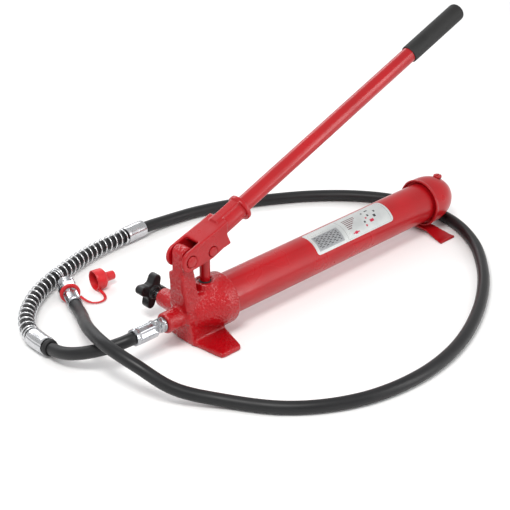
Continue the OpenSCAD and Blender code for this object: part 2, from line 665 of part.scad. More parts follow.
// The dust cap, its strap and the ring that ties it to the coupler
module strap_ring() color("red") on_coupler() translate([ring_at_x, 0, 0]) rotate([0, 90, 0])
    difference() {
        cylinder(h = ring_t, r = strap_ring_r);
        translate([0, 0, -1]) cylinder(h = ring_t + 2, r = neck_r + free_gap);
    }
module cap_strap() color("red") sweep_solid(strap_line, 2.6, 1.1, 8);
module dust_cap() color("red") on_dust_cap() rotate([0, 90, 0]) difference() {
    union() {
        cylinder(h = cup_len, r = cup_r);
        translate([0, 0, cup_len]) cylinder(h = cup_cone, r1 = cup_r, r2 = tail_r + 1);
        translate([0, 0, cup_len + cup_cone]) cylinder(h = tail_len, r1 = tail_r, r2 = tail_r - 0.4);
    }
    translate([0, 0, -1]) cylinder(h = cup_len, r = cup_r - cup_wall);
}

pump_body();
reservoir_tube();
end_cap();
rear_foot();
rating_label();
tube_front_seal();
tube_rear_seal();
gland_nut();
plunger_packing();
suction_tube();
suction_strainer();
inlet_ball();
outlet_ball();
outlet_spring();
relief_ball();
relief_spring();
relief_screw();
fulcrum_pin();
fulcrum_clip();
lever();
piston_pin();
piston_clip();
plunger();
handle_tube();
handle_grip();
release_ball();
release_spindle();
release_knob();
knob_pin();
valve_o_ring();
filler_plug();
filler_seal();
port_adapter();
hose_ferrule();
hose();
guard_spring_front();
guard_spring_rear();
guard_sleeve_front();
guard_sleeve_rear();
guard_grommet();
coupler_ferrule();
coupler_nut();
coupler_sleeve();
coupler_nose();
coupler_pin();
strap_ring();
cap_strap();
dust_cap();
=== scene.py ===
import json
import math

import bmesh
import bpy
from mathutils import Matrix, Vector
from mathutils.geometry import interpolate_bezier


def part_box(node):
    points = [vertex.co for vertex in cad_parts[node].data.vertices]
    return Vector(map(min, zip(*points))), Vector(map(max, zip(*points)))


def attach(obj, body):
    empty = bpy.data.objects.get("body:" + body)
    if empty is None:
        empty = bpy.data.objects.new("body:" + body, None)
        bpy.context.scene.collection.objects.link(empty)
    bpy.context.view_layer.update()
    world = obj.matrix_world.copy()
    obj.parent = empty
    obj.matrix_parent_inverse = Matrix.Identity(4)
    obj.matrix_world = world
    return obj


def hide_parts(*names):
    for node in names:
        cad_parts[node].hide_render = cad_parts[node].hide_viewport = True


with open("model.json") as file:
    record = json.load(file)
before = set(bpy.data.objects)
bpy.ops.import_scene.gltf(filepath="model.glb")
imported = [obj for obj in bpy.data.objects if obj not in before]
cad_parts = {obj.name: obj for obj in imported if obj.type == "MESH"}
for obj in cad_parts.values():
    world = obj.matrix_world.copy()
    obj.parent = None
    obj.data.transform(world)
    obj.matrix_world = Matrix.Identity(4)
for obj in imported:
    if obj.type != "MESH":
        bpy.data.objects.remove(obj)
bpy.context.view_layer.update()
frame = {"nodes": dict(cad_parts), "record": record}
nodes = frame["nodes"]

# Camera. It looks down at the pump's front left corner from two metres away, with a long
# lens, so that the reservoir runs back to the upper right.
camera_target = Vector((0.0897, 0.0, 0.0819))
camera_direction = Vector((-0.609, -0.633, 0.478))
camera_distance = 2.039
camera_data = bpy.data.cameras.new("camera")
camera_data.lens = 108.4
camera_data.sensor_width = 36.0
camera = bpy.data.objects.new("camera", camera_data)
bpy.context.scene.collection.objects.link(camera)
camera.location = camera_target + camera_direction.normalized() * camera_distance
camera.rotation_euler = (-camera_direction).to_track_quat("-Z", "Y").to_euler()
bpy.context.scene.camera = camera

# Pressure hose. Two metres of high-pressure thermoplastic hose, 17 mm across, black and
# smooth with a low gloss. It leaves the pump forwards, turns back through its spring guard,
# runs round behind the pump and comes back in front, lying on the floor except for one hump.
hose_route = [
    (-0.123, 0.0, 0.043), (-0.1435, 0.0075, 0.0385), (-0.164, 0.0225, 0.0325),
    (-0.1785, 0.0435, 0.025), (-0.185, 0.0685, 0.018), (-0.1835, 0.099, 0.0125),
    (-0.181, 0.135, 0.0125), (-0.167, 0.167, 0.0125), (-0.14, 0.197, 0.0125),
    (-0.105, 0.221, 0.0125), (-0.066, 0.237, 0.0125), (0.01, 0.259, 0.0125),
    (0.081, 0.265, 0.0125), (0.116, 0.266, 0.0125), (0.16, 0.2655, 0.0093),
    (0.216, 0.256, 0.0086), (0.272, 0.236, 0.0086), (0.328, 0.207, 0.0086),
    (0.38, 0.172, 0.0086), (0.426, 0.128, 0.0086), (0.458, 0.079, 0.0086),
    (0.472, 0.027, 0.0086), (0.469, -0.025, 0.0086), (0.452, -0.071, 0.0086),
    (0.42, -0.118, 0.0086), (0.362, -0.174, 0.0086), (0.29, -0.222, 0.0086),
    (0.21, -0.257, 0.0086), (0.13, -0.272, 0.0086), (0.053, -0.266, 0.0086),
    (-0.01, -0.242, 0.0086), (-0.062, -0.201, 0.0086), (-0.104, -0.141, 0.01),
    (-0.141, -0.0985, 0.0225), (-0.164, -0.057, 0.046), (-0.172, -0.009, 0.057),
    (-0.1605, 0.037, 0.053), (-0.139, 0.0775, 0.04), (-0.1145, 0.1155, 0.0235),
    (-0.094, 0.156, 0.0145)]
hose_radius = 0.0085
hose_turn = math.radians(65)
hose_ends = (Vector((-1.0, 0.0, 0.0)), Vector((math.cos(hose_turn), math.sin(hose_turn), 0.0)))


def smooth_knots(route, ends=None):
    """Each point of a route with the two handles that make one smooth curve through all.

    Where ends is given, it holds the directions of the route's first and last points.
    """
    knots = []
    for i, point in enumerate(route):
        ahead = Vector(route[min(i + 1, len(route) - 1)])
        behind = Vector(route[max(i - 1, 0)])
        reach = (ahead - behind) / 6
        if ends and i == 0:
            reach = 2 * reach.length * ends[0]
        if ends and i == len(route) - 1:
            reach = 2 * reach.length * ends[1]
        knots.append((Vector(point) - reach, Vector(point), Vector(point) + reach))
    return knots


def curve_piece(name, knots, radius, resolution, sides):
    """A round cord, wire or strap as a curve of one open spline through its knots."""
    data = bpy.data.curves.new(name, "CURVE")
    data.dimensions = "3D"
    data.resolution_u = resolution
    data.render_resolution_u = resolution
    data.bevel_depth = radius
    data.bevel_resolution = sides
    data.use_fill_caps = True
    spline = data.splines.new("BEZIER")
    spline.bezier_points.add(len(knots) - 1)
    for knot, (left, centre, right) in zip(spline.bezier_points, knots):
        knot.handle_left_type = "FREE"
        knot.handle_right_type = "FREE"
        knot.co, knot.handle_left, knot.handle_right = centre, left, right
    piece = bpy.data.objects.new(name, data)
    bpy.context.scene.collection.objects.link(piece)
    return piece


def add_node(tree, kind, inputs=None, **settings):
    """A shader node with its settings and the values of its inputs."""
    node = tree.nodes.new("ShaderNode" + kind)
    for key, value in settings.items():
        setattr(node, key, value)
    for key, value in (inputs or {}).items():
        node.inputs[key].default_value = value
    return node


def new_finish(name, colour, roughness, metallic=0.0, coat=0.0, coat_roughness=0.1):
    """A material with its even values set on the shader itself."""
    material = bpy.data.materials.new(name)
    material.use_nodes = True
    shader = material.node_tree.nodes["Principled BSDF"]
    shader.inputs["Base Color"].default_value = (*colour, 1.0)
    shader.inputs["Roughness"].default_value = roughness
    shader.inputs["Metallic"].default_value = metallic
    shader.inputs["Coat Weight"].default_value = coat
    shader.inputs["Coat Roughness"].default_value = coat_roughness
    return material


def object_place(tree, stretch=(1.0, 1.0, 1.0), turn=(0.0, 0.0, 0.0), centre=(0.0, 0.0, 0.0)):
    """Object coordinates about a centre, turned and stretched."""
    place = add_node(tree, "TexCoord")
    shift = add_node(tree, "Mapping", {"Location": [-c for c in centre]})
    mapping = add_node(tree, "Mapping", {"Rotation": turn, "Scale": stretch})
    tree.links.new(place.outputs["Object"], shift.inputs["Vector"])
    tree.links.new(shift.outputs["Vector"], mapping.inputs["Vector"])
    return mapping.outputs["Vector"]


def noise(tree, place, size, detail=2.0, roughness=0.5):
    """Noise whose grains are about size metres across."""
    texture = add_node(tree, "TexNoise",
                       {"Scale": 1.0 / size, "Detail": detail, "Roughness": roughness})
    tree.links.new(place, texture.inputs["Vector"])
    return texture.outputs["Fac"]


def remap(tree, value, low, high, from_low=0.3, from_high=0.7):
    """A texture's value carried from one range to another."""
    node = add_node(tree, "MapRange", {
        "From Min": from_low, "From Max": from_high, "To Min": low, "To Max": high})
    tree.links.new(value, node.inputs["Value"])
    return node.outputs["Result"]


def mixed(tree, share, first, second):
    """Two colours mixed by a share; each is a colour or a socket."""
    node = add_node(tree, "Mix", data_type="RGBA")
    tree.links.new(share, node.inputs[0])
    for socket, colour in ((node.inputs[6], first), (node.inputs[7], second)):
        if isinstance(colour, tuple):
            socket.default_value = (*colour, 1.0)
        else:
            tree.links.new(colour, socket)
    return node.outputs[2]


def bumps(tree, *layers):
    """Bump layers, each a value, its height in metres and its strength, on the shader."""
    normal = None
    for value, height, strength in layers:
        bump = add_node(tree, "Bump", {"Distance": height, "Strength": strength})
        tree.links.new(value, bump.inputs["Height"])
        if normal:
            tree.links.new(normal, bump.inputs["Normal"])
        normal = bump.outputs["Normal"]
    for name in ("Normal", "Coat Normal"):
        tree.links.new(normal, tree.nodes["Principled BSDF"].inputs[name])


def colour_by(tree, socket):
    tree.links.new(socket, tree.nodes["Principled BSDF"].inputs["Base Color"])


def roughness_by(tree, socket):
    tree.links.new(socket, tree.nodes["Principled BSDF"].inputs["Roughness"])


def rubber_finish(name, dark, light, roughness, grain_size, grain_height):
    """Black rubber or plastic with a fine grain and faint dusty patches."""
    material = new_finish(name, dark, roughness)
    tree = material.node_tree
    tree.nodes["Principled BSDF"].inputs["Specular IOR Level"].default_value = 0.35
    place = object_place(tree)
    patches = noise(tree, place, 0.03, 4.0)
    grain = noise(tree, place, grain_size, 3.0)
    colour_by(tree, mixed(tree, remap(tree, patches, 0.0, 1.0), dark, light))
    roughness_by(tree, remap(tree, patches, roughness - 0.06, roughness + 0.08))
    bumps(tree, (grain, grain_height, 0.5))
    return material


hose_rubber = rubber_finish("hose_rubber", (0.007, 0.007, 0.008), (0.012, 0.012, 0.013),
                            0.42, 0.0012, 0.00006)
hose_knots = smooth_knots(hose_route, hose_ends)
hose = curve_piece("hose_line", hose_knots, hose_radius, resolution=8, sides=6)
hose.data.materials.append(hose_rubber)
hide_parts("hose")
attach(hose, "pump")

# Spring guard. Two coil springs of bright steel wire are wound over the hose where it turns to
# run along the pump's far side. They butt end to end, with close coils at their ends.
wire_radius = 0.0011
coil_radius = 0.0109
turn_points = 18
close_turns = 1.0
hose_line = []
knot_distance = [0.0]
for start, end in zip(hose_knots, hose_knots[1:]):
    piece_points = interpolate_bezier(start[1], start[2], end[0], end[1], 33)
    length = sum((b - a).length for a, b in zip(piece_points, piece_points[1:]))
    knot_distance.append(knot_distance[-1] + length)
    hose_line.extend(piece_points[:-1] if end is not hose_knots[-1] else piece_points)
line_distance = [0.0]
for behind, ahead in zip(hose_line, hose_line[1:]):
    line_distance.append(line_distance[-1] + (ahead - behind).length)


def on_hose(distance):
    """The hose's centre at a distance along it, with its direction, side and up."""
    i = 0
    while i < len(line_distance) - 2 and line_distance[i + 1] < distance:
        i += 1
    step = hose_line[i + 1] - hose_line[i]
    share = (distance - line_distance[i]) / step.length
    behind = hose_line[max(i - 3, 0)]
    ahead = hose_line[min(i + 4, len(hose_line) - 1)]
    along = (ahead - behind).normalized()
    side = along.cross(Vector((0, 0, 1))).normalized()
    return hose_line[i] + step * share, along, side, side.cross(along)


def metal_finish(name, colour, tint, roughness, scratch=0.00001, place_settings=None):
    """Plated or bare metal: slight colour patches and fine tool marks."""
    material = new_finish(name, colour, roughness, metallic=1.0)
    tree = material.node_tree
    place = object_place(tree)
    marks = object_place(tree, **(place_settings or {"stretch": (12.0, 1.0, 1.0)}))
    patches = noise(tree, place, 0.012, 3.0)
    lines = noise(tree, marks, 0.004, 4.0, 0.7)
    colour_by(tree, mixed(tree, remap(tree, patches, 0.0, 1.0), colour, tint))
    roughness_by(tree, remap(tree, lines, roughness - 0.06, roughness + 0.12))
    bumps(tree, (lines, scratch, 0.4))
    return material


def coil_route(start, end, turns):
    """The line of a coil spring round the hose, with close coils at both ends."""
    close_pitch = 2.2 * wire_radius
    open_turns = turns - 2 * close_turns
    open_pitch = (end - start - 2 * close_turns * close_pitch) / open_turns
    route = []
    for k in range(turns * turn_points + 1):
        turn = k / turn_points
        closed = min(turn, close_turns) + max(0.0, turn - close_turns - open_turns)
        opened = max(0.0, min(turn - close_turns, open_turns))
        distance = start + closed * close_pitch + opened * open_pitch
        centre, along, side, up = on_hose(distance)
        angle = math.tau * turn
        route.append(centre + coil_radius * (side * math.cos(angle) + up * math.sin(angle)))
    return route


spring_steel = metal_finish("spring_steel", (0.78, 0.79, 0.80), (0.66, 0.67, 0.69), 0.22)
guard_ends = {"guard_spring_front": (6, 10, 15), "guard_spring_rear": (10, 12, 16)}
for node_name, (first, last, turns) in guard_ends.items():
    coil = curve_piece(node_name + "_wire", smooth_knots(coil_route(
        knot_distance[first] + wire_radius, knot_distance[last] - wire_radius, turns)),
        wire_radius, resolution=1, sides=2)
    coil.data.materials.append(spring_steel)
    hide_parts(node_name)
    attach(coil, "pump")

# Guard sleeves and grommet. A short bright steel sleeve is rolled over each end of the
# spring guard, with a seam along it. A soft black grommet fills the end near the pump.
sleeve_radius = 0.0124
sleeve_bore = 0.0101
sleeve_lip = 0.0003
sleeve_edge_radius, sleeve_end_radius = 0.0121, 0.0113
sleeve_flat_margin = 0.0012
seam_depth = 0.0006
seam_angle = math.radians(66)
seam_half_angle = 0.06
grommet_reach = 0.0088


def spun(outline, steps, closed=True):
    """A solid turned about the X axis from an outline of (along, radius) pairs."""
    shape = bmesh.new()
    ring = [shape.verts.new((along, 0.0, radius)) for along, radius in outline]
    edges = [shape.edges.new(pair) for pair in zip(ring, ring[1:])]
    if closed:
        edges.append(shape.edges.new((ring[-1], ring[0])))
    bmesh.ops.spin(shape, geom=ring + edges, cent=(0, 0, 0), axis=(1, 0, 0),
                   angle=math.tau, steps=steps, use_merge=True)
    bmesh.ops.remove_doubles(shape, verts=shape.verts, dist=1e-6)
    bmesh.ops.recalc_face_normals(shape, faces=shape.faces)
    return shape


def even_steps(start, end, count):
    return [start + (end - start) * i / count for i in range(count + 1)]


def along_hose(shape, start):
    """Lays a straight shape along the hose, from a distance on its line."""
    for vert in shape.verts:
        centre, _, side, up = on_hose(start + vert.co.x)
        vert.co = centre + side * vert.co.y + up * vert.co.z


def body_of(node_name):
    """The body that a CAD node belongs to."""
    groups = frame["record"]["behaviour"]["bodies"]
    return next(body for body, members in groups.items() if node_name in members)


def finished(name, shape, material, slot_name, *replaced, sharp=35, body=None, place=None):
    """Makes a piece of a shape, with its material, body and the CAD nodes it stands for.

    Where place is given, the shape is carried there first.
    """
    if place is not None:
        bmesh.ops.transform(shape, matrix=place, verts=shape.verts)
    mesh = bpy.data.meshes.new(name)
    shape.to_mesh(mesh)
    shape.free()
    mesh.shade_smooth()
    mesh.set_sharp_from_angle(angle=math.radians(sharp))
    mesh.materials.append(material)
    piece = bpy.data.objects.new(name, mesh)
    bpy.context.scene.collection.objects.link(piece)
    if replaced:
        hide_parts(*replaced)
    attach(piece, body or body_of(replaced[0]))
    return piece


bright_sleeve = metal_finish("bright_sleeve", (0.62, 0.62, 0.64), (0.50, 0.51, 0.52), 0.20)
sleeve_ends = {
    "guard_sleeve_front": (knot_distance[5], knot_distance[6] - 0.0026),
    "guard_sleeve_rear": (knot_distance[12] + 0.0009, knot_distance[13])}
for node_name, (start, end) in sleeve_ends.items():
    length = end - start
    outside = [(along, sleeve_radius)
               for along in even_steps(sleeve_flat_margin, length - sleeve_flat_margin, 8)]
    outline = ([(0.0, sleeve_end_radius), (sleeve_lip, sleeve_edge_radius)] + outside
               + [(length - sleeve_lip, sleeve_edge_radius), (length, sleeve_end_radius)]
               + [(along, sleeve_bore) for along in even_steps(length, 0.0, 8)])
    shape = spun(outline, 60)
    for vert in shape.verts:
        beside_seam = abs(math.atan2(vert.co.y, vert.co.z) + seam_angle) < seam_half_angle
        if beside_seam and math.hypot(vert.co.y, vert.co.z) > sleeve_edge_radius - 0.0001:
            vert.co.yz *= 1.0 - seam_depth / sleeve_radius
    along_hose(shape, start)
    finished(node_name + "_rolled", shape, bright_sleeve, "zinc", node_name)
grommet_outline = [(0.0, 0.0091), (0.0002, 0.0101), (0.0010, 0.0108), (0.0030, 0.0113),
                   (0.0050, 0.0115), (0.0070, 0.0114), (0.0070, 0.0091), (0.0035, 0.0091)]
shape = spun(grommet_outline, 48)
along_hose(shape, knot_distance[5] - grommet_reach)
soft_rubber = rubber_finish("soft_rubber", (0.010, 0.010, 0.011), (0.02, 0.02, 0.021),
                            0.55, 0.0008, 0.00005)
finished("guard_grommet_soft", shape, soft_rubber, "seal_rubber",
                             "guard_grommet", sharp=80)

# Hose ferrules. Each end of the hose is crimped in a zinc-plated steel ferrule: eight dies
# press it inwards and leave sharp ribs between their flats.
crimp_depth = 0.0018
crimp_dies = 8
axis_height = hose_route[0][2]
pump_ferrule = Matrix.Translation(hose_route[0])
coupler_place = Matrix.Translation(hose_route[-1]) @ Matrix.Rotation(hose_turn, 4, "Z")


def crimped_ferrule(length, ferrule_radius, neck_length=0.0, neck_radius=0.0):
    """A ferrule from the hose at 0 to its neck, pressed by the dies."""
    skirt_end = 0.0034
    pressed = [(along, ferrule_radius) for along in even_steps(0.0042, length - 0.0010, 16)]
    outline = ([(0.0, 0.0030), (0.0, ferrule_radius - 0.0011), (0.0005, ferrule_radius - 0.0004),
                (skirt_end, ferrule_radius - 0.0004)] + pressed
               + [(length - 0.0003, ferrule_radius - 0.0007), (length, ferrule_radius - 0.0013)])
    if neck_length > 0:
        outline += [(length, neck_radius), (length + neck_length, neck_radius)]
    outline.append((length + neck_length, 0.0030))
    shape = spun(outline, 12 * crimp_dies)
    for vert in shape.verts:
        radius = math.hypot(vert.co.y, vert.co.z)
        if radius < ferrule_radius - 0.0002:
            continue
        die = (math.atan2(vert.co.y, vert.co.z) / math.tau * crimp_dies) % 1.0
        rib = abs(2 * die - 1) ** 3
        edge = min(1.0, (vert.co.x - 0.0036) / 0.003, (length - 0.0003 - vert.co.x) / 0.003)
        vert.co.yz *= 1 - crimp_depth * (1 - rib) * max(edge, 0.2) / radius
    return shape


zinc_along_x = metal_finish("zinc_plate", (0.50, 0.51, 0.53), (0.36, 0.37, 0.39), 0.20)
shape = crimped_ferrule(length=0.035, ferrule_radius=0.0115)
hose_ferrule = finished("hose_ferrule_crimped", shape, zinc_along_x, "zinc", "hose_ferrule",
                        place=pump_ferrule)
shape = crimped_ferrule(length=0.030, ferrule_radius=0.0105, neck_length=0.005,
                        neck_radius=0.008)
coupler_ferrule = finished("coupler_ferrule_crimped", shape, zinc_along_x, "zinc",
                           "coupler_ferrule", place=coupler_place)

# Coupler. A screwed quick coupler for the ram: a hexagon nut, a groove, a threaded sleeve,
# and a nose with a brass valve needle in it. All but the needle are zinc-plated steel.
nut_start, nut_end, nut_radius = 0.035, 0.046, 0.0139
thread_start, thread_end, thread_radius = 0.0485, 0.060, 0.0125
thread_pitch, thread_depth = 0.0018, 0.0010
nose_start, nose_end, nose_radius = 0.0462, 0.0667, 0.006
needle_start, needle_end, needle_radius = 0.052, 0.0695, 0.0016


def pressed_flat(shape, sides, flat, start, end):
    """Cuts flats on a turned shape between two places along it."""
    for vert in shape.verts:
        radius = math.hypot(vert.co.y, vert.co.z)
        if radius > 0.5 * flat and start <= vert.co.x <= end:
            turn = math.atan2(vert.co.y, vert.co.z) / math.tau * sides
            from_middle = (turn - round(turn)) * math.tau / sides
            reach = flat / math.cos(from_middle)
            if reach < radius:
                vert.co.yz *= reach / radius


nut_flat = nut_radius * math.cos(math.pi / 6)
chamfer_length, chamfer_drop, chamfer_steps = 0.0011, 0.0018, 5
nut_face_radius = 0.0121
chamfer = [(chamfer_length * i / chamfer_steps, nut_face_radius + chamfer_drop * i / chamfer_steps)
           for i in range(chamfer_steps + 1)]
shape = spun([(nut_start, 0.005)] + [(nut_start + along, radius) for along, radius in chamfer]
             + [(nut_end - along, radius) for along, radius in chamfer[::-1]]
             + [(nut_end, 0.005)], 72)
pressed_flat(shape, 6, nut_flat, nut_start, nut_end)
coupler_nut = finished("coupler_nut_hexagon", shape, zinc_along_x, "zinc", "coupler_nut",
                       sharp=24, place=coupler_place)
thread_rings = [(along, thread_radius) for along in even_steps(thread_start, thread_end, 46)]
shape = spun([(nut_end, 0.0065), (nut_end, 0.0105), (thread_start - 0.0002, 0.0105)]
             + thread_rings + [(thread_end, 0.0065)], 96)
for vert in shape.verts:
    radius = math.hypot(vert.co.y, vert.co.z)
    if radius > 0.0124:
        turn = math.atan2(vert.co.y, vert.co.z) / math.tau
        wave = abs(2 * ((vert.co.x / thread_pitch - turn) % 1.0) - 1)
        lead = max(0.0, vert.co.x - (thread_end - 0.0010))
        vert.co.yz *= 1 - (thread_depth * min(1.0, 1.3 * wave) + 0.6 * lead) / radius
coupler_sleeve = finished("coupler_sleeve_threaded", shape, zinc_along_x, "zinc",
                          "coupler_sleeve", sharp=30, place=coupler_place)
nose_outline = [(nose_start, 0.0017), (nose_start, nose_radius), (0.0610, nose_radius),
                (0.0612, nose_radius), (0.0656, nose_radius), (nose_end, 0.0049),
                (nose_end, 0.0022), (nose_end - 0.0012, 0.0017)]
shape = spun(nose_outline, 48)
pressed_flat(shape, 6, 0.0056, 0.0611, 0.0657)
coupler_nose = finished("coupler_nose_flatted", shape, zinc_along_x, "zinc", "coupler_nose",
                        place=coupler_place)
brass = metal_finish("brass", (0.72, 0.52, 0.22), (0.60, 0.42, 0.17), 0.28)
needle_outline = [(needle_start, 0.0), (needle_start, needle_radius), (0.0675, needle_radius),
                  (0.0677, 0.0012), (0.0683, 0.0012), (0.0685, needle_radius),
                  (0.0692, needle_radius), (needle_end, 0.0011), (needle_end, 0.0)]
shape = spun(needle_outline, 24, closed=False)
coupler_needle = finished("coupler_needle", shape, brass, "brass", "coupler_pin",
                          place=coupler_place)

# Dust cap. A soft red plastic cap, ribbed for grip, with a small tail to pull it by. A
# moulded strap ties it to a ring behind the coupler's nut, and it lies pulled off.
cup_radius = 0.0144
cup_ribs, rib_height, rib_twist = 48, 0.00022, 0.35
dust_cap_place = (Matrix.Translation((-0.036, 0.190, 0.0145))
                  @ Matrix.Rotation(math.radians(-10), 4, "Z"))
strap_route = [
    (-0.0679, 0.1798, 0.0065), (-0.065, 0.1705, 0.003), (-0.061, 0.1615, 0.0018),
    (-0.0525, 0.156, 0.0018), (-0.0425, 0.158, 0.0018), (-0.0365, 0.167, 0.0022),
    (-0.0352, 0.178, 0.0044)]
red_plastic = new_finish("red_plastic", (0.62, 0.012, 0.018), 0.42)
tree = red_plastic.node_tree
place = object_place(tree)
blush = noise(tree, place, 0.014, 3.0)
moulded = noise(tree, place, 0.0009, 2.0)
colour_by(tree, mixed(tree, remap(tree, blush, 0.0, 1.0), (0.66, 0.014, 0.02),
                      (0.52, 0.008, 0.013)))
roughness_by(tree, remap(tree, blush, 0.36, 0.50))
bumps(tree, (moulded, 0.00005, 0.5))
shader = tree.nodes["Principled BSDF"]
shader.inputs["Subsurface Weight"].default_value = 0.08
shader.inputs["Subsurface Radius"].default_value = (0.004, 0.0006, 0.0004)

skirt = [(along, cup_radius) for along in even_steps(0.0024, 0.0130, 10)]
cap_outline = ([(0.032, 0.0), (0.032, 0.0050), (0.0312, 0.0060), (0.0298, 0.0063),
                (0.0200, 0.0066), (0.0192, 0.0070), (0.0189, 0.0077), (0.0185, 0.0086),
                (0.0148, 0.0133), (0.0139, 0.0141)] + skirt[::-1]
               + [(0.0019, 0.0140), (0.0016, 0.0144), (0.0006, 0.0144), (0.0, 0.0138),
                  (0.0003, 0.0127), (0.0010, 0.0125), (0.0120, 0.0123), (0.0124, 0.0118),
                  (0.0125, 0.0)])
shape = spun(cap_outline, 4 * cup_ribs, closed=False)
for vert in shape.verts:
    radius = math.hypot(vert.co.y, vert.co.z)
    if radius > 0.01435 and 0.0020 < vert.co.x < 0.0136:
        turn = math.atan2(vert.co.y, vert.co.z) / math.tau
        wave = 0.5 + 0.5 * math.cos(math.tau * (cup_ribs * turn + rib_twist * vert.co.x / 0.002))
        vert.co.yz *= 1 - rib_height * wave / radius
dust_cap = finished("dust_cap_ribbed", shape, red_plastic, "cap_plastic", "dust_cap", sharp=50,
                    place=dust_cap_place)
ring_outline = [(0.0306, 0.0089), (0.0306, 0.0134), (0.0313, 0.0141), (0.0318, 0.0142),
                (0.0332, 0.0142), (0.0337, 0.0141), (0.0344, 0.0134), (0.0344, 0.0089),
                (0.0339, 0.0083), (0.0311, 0.0083)]
shape = spun(ring_outline, 64)
strap_ring = finished("strap_ring_moulded", shape, red_plastic, "cap_plastic", "strap_ring",
                      sharp=50, place=coupler_place)
band = curve_piece("strap_band", smooth_knots(
    [Vector((0.0022 * math.cos(a), 0.0010 * math.sin(a), 0.0))
     for a in even_steps(0.0, math.tau, 16)]), 0.0, resolution=1, sides=0)
line = curve_piece("strap_line", smooth_knots(strap_route), 0.0, resolution=6, sides=0)
line.data.twist_mode = "Z_UP"
line.data.bevel_mode = "OBJECT"
line.data.bevel_object = band
for knot, width in zip(line.data.splines[0].bezier_points, (1.15, 1.0, 0.85, 0.8, 0.85, 1.0, 1.18)):
    knot.radius = width
bpy.context.view_layer.update()
shape = bmesh.new()
shape.from_mesh(bpy.data.meshes.new_from_object(
    line.evaluated_get(bpy.context.evaluated_depsgraph_get())))
bmesh.ops.remove_doubles(shape, verts=shape.verts, dist=1e-6)
bmesh.ops.holes_fill(shape, edges=[e for e in shape.edges if e.is_boundary], sides=0)
bmesh.ops.recalc_face_normals(shape, faces=shape.faces)
bpy.data.objects.remove(line)
bpy.data.objects.remove(band)
cap_strap = finished("cap_strap_moulded", shape, red_plastic, "cap_plastic", "cap_strap",
                     sharp=60)

# Reservoir. A seamless steel tube, painted gloss red, with a rubber seal at each end, closed
# by the pump casting in front and by a cast cap behind.
paint_bright = (0.40, 0.003, 0.007)
paint_deep = (0.33, 0.002, 0.005)


def paint_finish(name, roughness, layers):
    """Gloss red enamel: slight shade patches under a clear skin, and bumps in layers."""
    material = new_finish(name, paint_bright, roughness, coat=0.15, coat_roughness=0.08)
    tree = material.node_tree
    tree.nodes["Principled BSDF"].inputs["Specular IOR Level"].default_value = 0.35
    place = object_place(tree)
    shade = noise(tree, place, 0.05, 2.0, 0.5)
    colour_by(tree, mixed(tree, remap(tree, shade, 0.0, 1.0), paint_bright, paint_deep))
    roughness_by(tree, remap(tree, shade, roughness - 0.05, roughness + 0.08))
    bumps(tree, *[(noise(tree, place, size, detail), height, strength)
                  for size, detail, height, strength in layers])
    return material


tube_paint = paint_finish("tube_paint", 0.30, [(0.0025, 2.0, 0.00003, 0.35),
                                              (0.04, 2.0, 0.0001, 0.2)])


def repaint(node_name, material):
    """Gives a CAD node a finish of this script."""
    node = nodes[node_name]
    node.data.materials.clear()
    node.data.materials.append(material)


repaint("reservoir_tube", tube_paint)
repaint("tube_front_seal", soft_rubber)
repaint("tube_rear_seal", soft_rubber)

# Pump casting, end cap and rear foot. The pump head is one iron casting with its collar,
# bosses, post and foot; the cap and the foot are castings too. All have generous fillets
# and a pebbled skin under the paint, coarse on the head and fine on the cap.


def merged_copy(node_name):
    """A CAD node's mesh with its loose triangles joined, to build a piece from."""
    shape = bmesh.new()
    shape.from_mesh(nodes[node_name].data)
    bmesh.ops.remove_doubles(shape, verts=shape.verts, dist=1e-6)
    return shape


def filleted(node_name, grid, passes, bore_radius=0.0):
    """A CAD node remade as one even skin, then smoothed until its edges are fillets.

    The skin within bore_radius of the upright axis keeps its size, as a machined bore does.
    """
    shape = merged_copy(node_name)
    mesh = bpy.data.meshes.new("skin")
    shape.to_mesh(mesh)
    shape.free()
    skin = bpy.data.objects.new("skin", mesh)
    bpy.context.scene.collection.objects.link(skin)
    remesh = skin.modifiers.new("even_skin", "REMESH")
    remesh.mode = "VOXEL"
    remesh.voxel_size = grid
    bpy.context.view_layer.update()
    depsgraph = bpy.context.evaluated_depsgraph_get()
    shape = bmesh.new()
    shape.from_mesh(bpy.data.meshes.new_from_object(skin.evaluated_get(depsgraph)))
    bpy.data.objects.remove(skin)
    outside = [vert for vert in shape.verts
               if math.hypot(vert.co.x, vert.co.y) >= bore_radius]
    for _ in range(passes):
        bmesh.ops.smooth_vert(shape, verts=outside, factor=0.5, use_axis_x=True,
                              use_axis_y=True, use_axis_z=True)
    return shape


cast_paint = paint_finish("cast_paint", 0.19, [(0.0030, 1.0, 0.0012, 1.0),
                                              (0.010, 2.0, 0.0008, 0.4)])
cap_paint = paint_finish("cap_paint", 0.30, [(0.0020, 2.0, 0.00010, 0.30),
                                            (0.015, 2.0, 0.0004, 0.25)])
finished("pump_casting", filleted("pump_body", grid=0.0012, passes=14, bore_radius=0.0112),
         cast_paint, "red_cast", "pump_body", sharp=180)
finished("cap_casting", filleted("end_cap", grid=0.0010, passes=3), cap_paint,
         "red_cast", "end_cap", sharp=180)
finished("rear_foot_casting", filleted("rear_foot", grid=0.0009, passes=4), cap_paint,
         "red_cast", "rear_foot", sharp=180)

